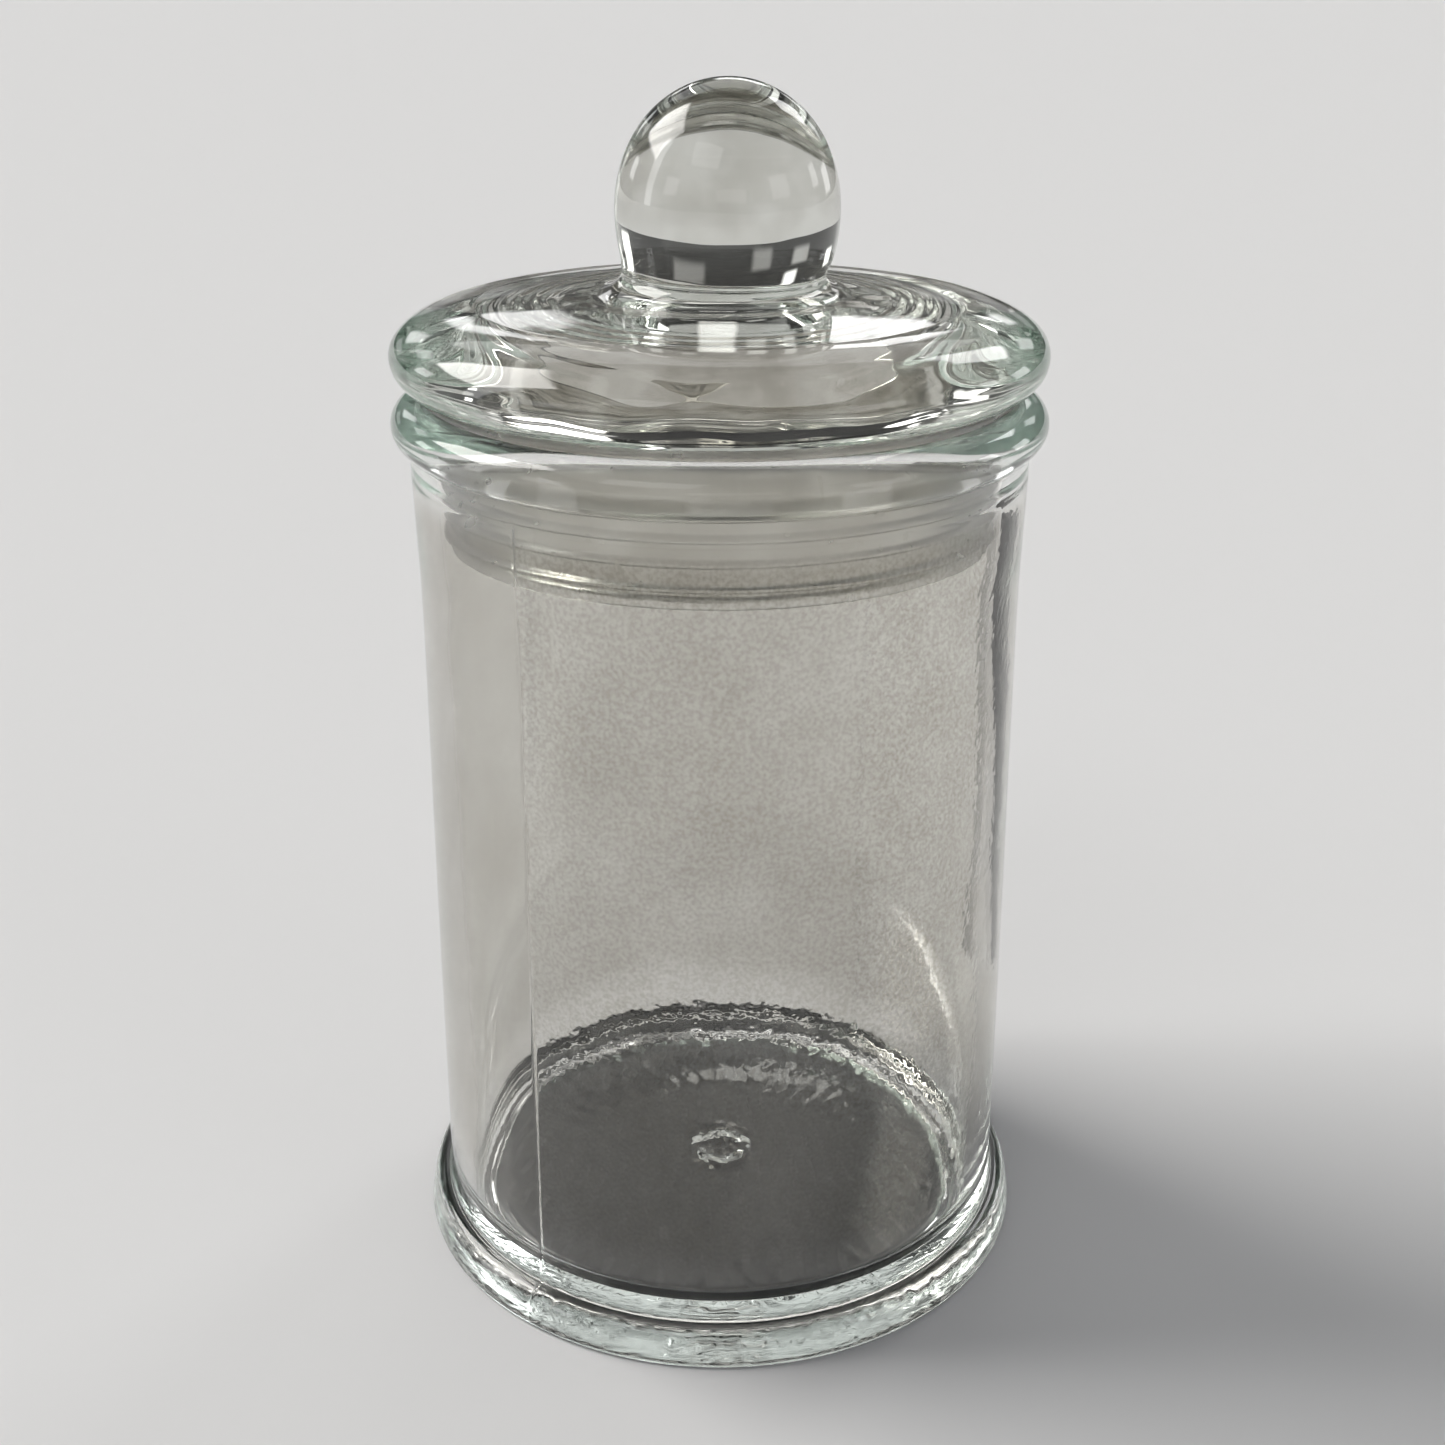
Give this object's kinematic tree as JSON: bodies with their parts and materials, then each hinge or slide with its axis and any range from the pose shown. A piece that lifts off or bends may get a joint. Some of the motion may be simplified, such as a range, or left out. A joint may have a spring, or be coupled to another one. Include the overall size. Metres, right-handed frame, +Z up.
{
  "type": "lidded glass canister",
  "caption": "Round footed glass canister with a thick rolled rim and a ball-knob glass lid whose hollow plug carries a ribbed translucent seal; the lid lifts straight off and turns freely.",
  "frame": {"origin": "middle of the foot, on the surface that the canister stands on", "axes": "+Z up along the axis that every piece is turned about; +X and +Y are any two directions across it"},
  "size_m": [0.08, 0.08, 0.1458],
  "materials": {
    "jar_glass": "clear pressed glass, faintly orange-peeled outside, with a stippled ring under the foot",
    "lid_glass": "clear fire-polished glass, faintly green where it is thick",
    "seal_silicone": "milky translucent silicone, satin"
  },
  "bodies": {
    "jar": {"jar": "jar_glass"},
    "seal": {"seal": "seal_silicone"},
    "lid": {"lid": "lid_glass"}
  },
  "joints": [
    {"name": "lid_lift", "type": "slide", "parent": "jar", "child": "seal", "axis": [0, 0, 1], "range_m": [0, 0.06]},
    {"name": "lid_turn", "type": "hinge", "parent": "seal", "child": "lid", "pos_m": [0, 0, 0.1121], "axis": [0, 0, 1], "continuous": true}
  ]
}
